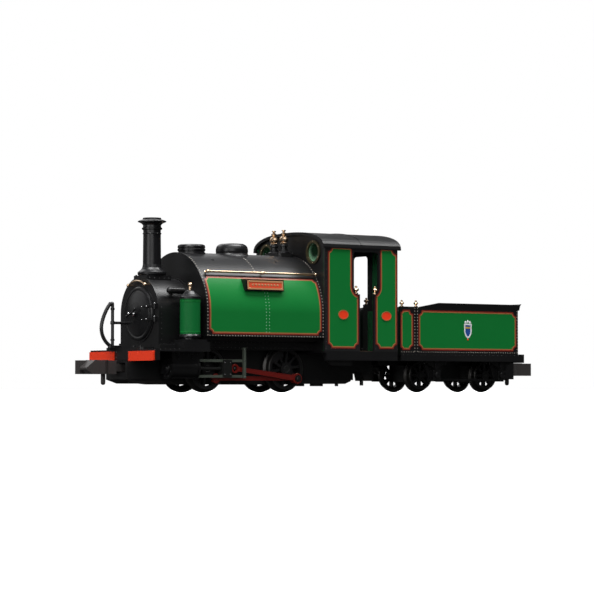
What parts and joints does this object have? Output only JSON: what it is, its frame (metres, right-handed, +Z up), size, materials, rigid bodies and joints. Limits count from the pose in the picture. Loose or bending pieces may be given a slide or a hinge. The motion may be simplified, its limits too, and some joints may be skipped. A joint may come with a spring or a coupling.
{
  "type": "model steam locomotive",
  "caption": "Model narrow-gauge saddle-tank steam locomotive with four-wheeled tender, working wheels, rods, crossheads, drawbar and end couplers.",
  "frame": {"origin": "under the middle of the whole train, at the lowest point of the wheel flanges", "axes": "+X forward along the track, +Y to the engine's left, +Z up"},
  "size_m": [0.1064, 0.0244, 0.0329],
  "materials": {
    "black_metal": "gloss",
    "die_cast": "matt",
    "black_plastic": "satin",
    "green_paint": "gloss",
    "black_moulding": "gloss",
    "red_paint": "satin",
    "brass": "polished",
    "steel": "bright",
    "wheel_metal": "dark nickel",
    "rod_red": "gloss",
    "bar_metal": "satin",
    "clear": "clear",
    "gear_plastic": "matt",
    "hose_rubber": "satin"
  },
  "bodies": {
    "engine": {"chassis_block": "die_cast", "keeper_plate": "black_plastic", "chassis_screws": "steel", "front_deck": "black_moulding", "beam_pads": "red_paint", "cab_footplate": "black_moulding", "boiler_casing": "black_moulding", "smokebox": "black_moulding", "smokebox_door": "black_moulding", "door_handrail": "brass", "chimney": "black_moulding", "saddle_tank": "green_paint", "filler_lid": "black_moulding", "dome": "black_moulding", "tank_handrails": "brass", "nameplates": "red_paint", "sandboxes": "green_paint", "sandbox_caps": "black_moulding", "sandbox_finials": "brass", "brake_hose": "hose_rubber", "safety_valves": "brass", "cab_front": "black_moulding", "spectacle_rims": "brass", "spectacle_glass": "clear", "cab_side_left": "green_paint", "cab_side_right": "green_paint", "cab_back": "green_paint", "cab_roof": "black_moulding", "cab_knobs": "brass", "backhead": "black_plastic", "cylinders": "black_moulding", "slide_bars": "bar_metal", "motor_can": "steel"},
    "front_wheelset": {"front_wheels": "wheel_metal", "front_axle": "steel", "axle_gear": "gear_plastic"},
    "rear_wheelset": {"rear_wheels": "wheel_metal", "rear_axle": "steel"},
    "motor_rotor": {"motor_shaft": "steel"},
    "idler": {"idler_gear": "gear_plastic"},
    "drawbar": {"drawbar": "black_metal"},
    "tender": {"tender_frame": "black_moulding", "tender_tank": "green_paint", "tender_knobs": "brass"},
    "tender_front_wheelset": {"tender_front_wheels": "wheel_metal"},
    "tender_rear_wheelset": {"tender_rear_wheels": "wheel_metal"},
    "front_coupler": {"front_coupler": "black_plastic"},
    "rear_coupler": {"rear_coupler": "black_plastic"},
    "coupling_rod_left": {"coupling_rod_left": "rod_red"},
    "crank_dowel_left": {"crank_dowel_left": "steel"},
    "crosshead_left": {"crosshead_left": "black_metal"},
    "piston_rod_left": {"piston_rod_left": "steel"},
    "gudgeon_left": {"gudgeon_left": "steel"},
    "connecting_rod_left": {"connecting_rod_left": "rod_red"},
    "coupling_rod_right": {"coupling_rod_right": "rod_red"},
    "crank_dowel_right": {"crank_dowel_right": "steel"},
    "crosshead_right": {"crosshead_right": "black_metal"},
    "piston_rod_right": {"piston_rod_right": "steel"},
    "gudgeon_right": {"gudgeon_right": "steel"},
    "connecting_rod_right": {"connecting_rod_right": "rod_red"}
  },
  "joints": [
    {"name": "driver_spin", "type": "hinge", "parent": "engine", "child": "rear_wheelset", "pos_m": [0.011, 0, 0.00455], "axis": [0, 1, 0], "continuous": true},
    {"name": "front_axle_spin", "type": "hinge", "parent": "engine", "child": "front_wheelset", "pos_m": [0.029, 0, 0.00455], "axis": [0, 1, 0], "continuous": true},
    {"name": "idler_spin", "type": "hinge", "parent": "engine", "child": "idler", "pos_m": [0.0268, 0, 0.0112], "axis": [0, 1, 0], "continuous": true},
    {"name": "motor_spin", "type": "hinge", "parent": "engine", "child": "motor_rotor", "pos_m": [0.02, 0, 0.01715], "axis": [1, 0, 0], "continuous": true},
    {"name": "coupling_rod_left_pin", "type": "hinge", "parent": "rear_wheelset", "child": "coupling_rod_left", "pos_m": [0.00946, 0.00582, 0.00271], "axis": [0, 1, 0], "continuous": true},
    {"name": "crank_dowel_left_spin", "type": "hinge", "parent": "rear_wheelset", "child": "crank_dowel_left", "pos_m": [0.01023, 0.0052, 0.00363], "axis": [0, 1, 0], "continuous": true},
    {"name": "crosshead_left_travel", "type": "hinge", "parent": "crank_dowel_left", "child": "crosshead_left", "pos_m": [0.00946, 0.00675, 0.00455], "axis": [0, 1, 0], "continuous": true},
    {"name": "piston_rod_left_spin", "type": "hinge", "parent": "crosshead_left", "child": "piston_rod_left", "pos_m": [0.02379, 0.00675, 0.00455], "axis": [1, 0, 0], "continuous": true},
    {"name": "gudgeon_left_spin", "type": "hinge", "parent": "piston_rod_left", "child": "gudgeon_left", "pos_m": [0.02379, 0.00675, 0.00455], "axis": [0.9965, -0.0536, 0.0638], "continuous": true},
    {"name": "connecting_rod_left_swing", "type": "hinge", "parent": "gudgeon_left", "child": "connecting_rod_left", "pos_m": [0.02379, 0.00675, 0.00455], "axis": [0.9919, 0, 0.1273], "continuous": true},
    {"name": "coupling_rod_right_pin", "type": "hinge", "parent": "rear_wheelset", "child": "coupling_rod_right", "pos_m": [0.01284, -0.00582, 0.00301], "axis": [0, 1, 0], "continuous": true},
    {"name": "crank_dowel_right_spin", "type": "hinge", "parent": "rear_wheelset", "child": "crank_dowel_right", "pos_m": [0.01192, -0.0052, 0.00378], "axis": [0, 1, 0], "continuous": true},
    {"name": "crosshead_right_travel", "type": "hinge", "parent": "crank_dowel_right", "child": "crosshead_right", "pos_m": [0.01284, -0.00675, 0.00455], "axis": [0, 1, 0], "continuous": true},
    {"name": "piston_rod_right_spin", "type": "hinge", "parent": "crosshead_right", "child": "piston_rod_right", "pos_m": [0.02721, -0.00675, 0.00455], "axis": [1, 0, 0], "continuous": true},
    {"name": "gudgeon_right_spin", "type": "hinge", "parent": "piston_rod_right", "child": "gudgeon_right", "pos_m": [0.02721, -0.00675, 0.00455], "axis": [0.9965, 0.0639, 0.0536], "continuous": true},
    {"name": "connecting_rod_right_swing", "type": "hinge", "parent": "gudgeon_right", "child": "connecting_rod_right", "pos_m": [0.02721, -0.00675, 0.00455], "axis": [0.9943, 0, 0.1069], "continuous": true},
    {"name": "drawbar_swing", "type": "hinge", "parent": "engine", "child": "drawbar", "pos_m": [-0.0084, 0, 0.0046], "axis": [0, 0, 1], "range_deg": [-2, 2]},
    {"name": "tender_swing", "type": "hinge", "parent": "drawbar", "child": "tender", "pos_m": [-0.0142, 0, 0.0046], "axis": [0, 0, 1], "range_deg": [-2, 2]},
    {"name": "tender_front_axle_spin", "type": "hinge", "parent": "tender", "child": "tender_front_wheelset", "pos_m": [-0.0218, 0, 0.00345], "axis": [0, 1, 0], "continuous": true},
    {"name": "tender_rear_axle_spin", "type": "hinge", "parent": "tender", "child": "tender_rear_wheelset", "pos_m": [-0.0384, 0, 0.00345], "axis": [0, 1, 0], "continuous": true},
    {"name": "front_coupler_swing", "type": "hinge", "parent": "engine", "child": "front_coupler", "pos_m": [0.0414, 0, 0.0047], "axis": [0, 0, 1], "range_deg": [-8, 8], "stiffness_Nm_per_rad": 0.00002},
    {"name": "rear_coupler_swing", "type": "hinge", "parent": "tender", "child": "rear_coupler", "pos_m": [-0.0414, 0, 0.0047], "axis": [0, 0, 1], "range_deg": [-8, 8], "stiffness_Nm_per_rad": 0.00002}
  ],
  "couplings": [
    {"joint": "front_axle_spin", "follows": "driver_spin", "ratio": 1},
    {"joint": "idler_spin", "follows": "driver_spin", "ratio": -0.42857},
    {"joint": "motor_spin", "follows": "driver_spin", "ratio": 12},
    {"joint": "coupling_rod_left_pin", "follows": "driver_spin", "ratio": -1},
    {"joint": "crank_dowel_left_spin", "follows": "driver_spin", "ratio": -2},
    {"joint": "crosshead_left_travel", "follows": "driver_spin", "ratio": 1},
    {"joint": "piston_rod_left_spin", "follows": "driver_spin", "ratio": 1},
    {"joint": "gudgeon_left_spin", "follows": "driver_spin", "ratio": -2},
    {"joint": "connecting_rod_left_swing", "follows": "driver_spin", "ratio": 1},
    {"joint": "coupling_rod_right_pin", "follows": "driver_spin", "ratio": -1},
    {"joint": "crank_dowel_right_spin", "follows": "driver_spin", "ratio": -2},
    {"joint": "crosshead_right_travel", "follows": "driver_spin", "ratio": 1},
    {"joint": "piston_rod_right_spin", "follows": "driver_spin", "ratio": 1},
    {"joint": "gudgeon_right_spin", "follows": "driver_spin", "ratio": -2},
    {"joint": "connecting_rod_right_swing", "follows": "driver_spin", "ratio": 1}
  ]
}
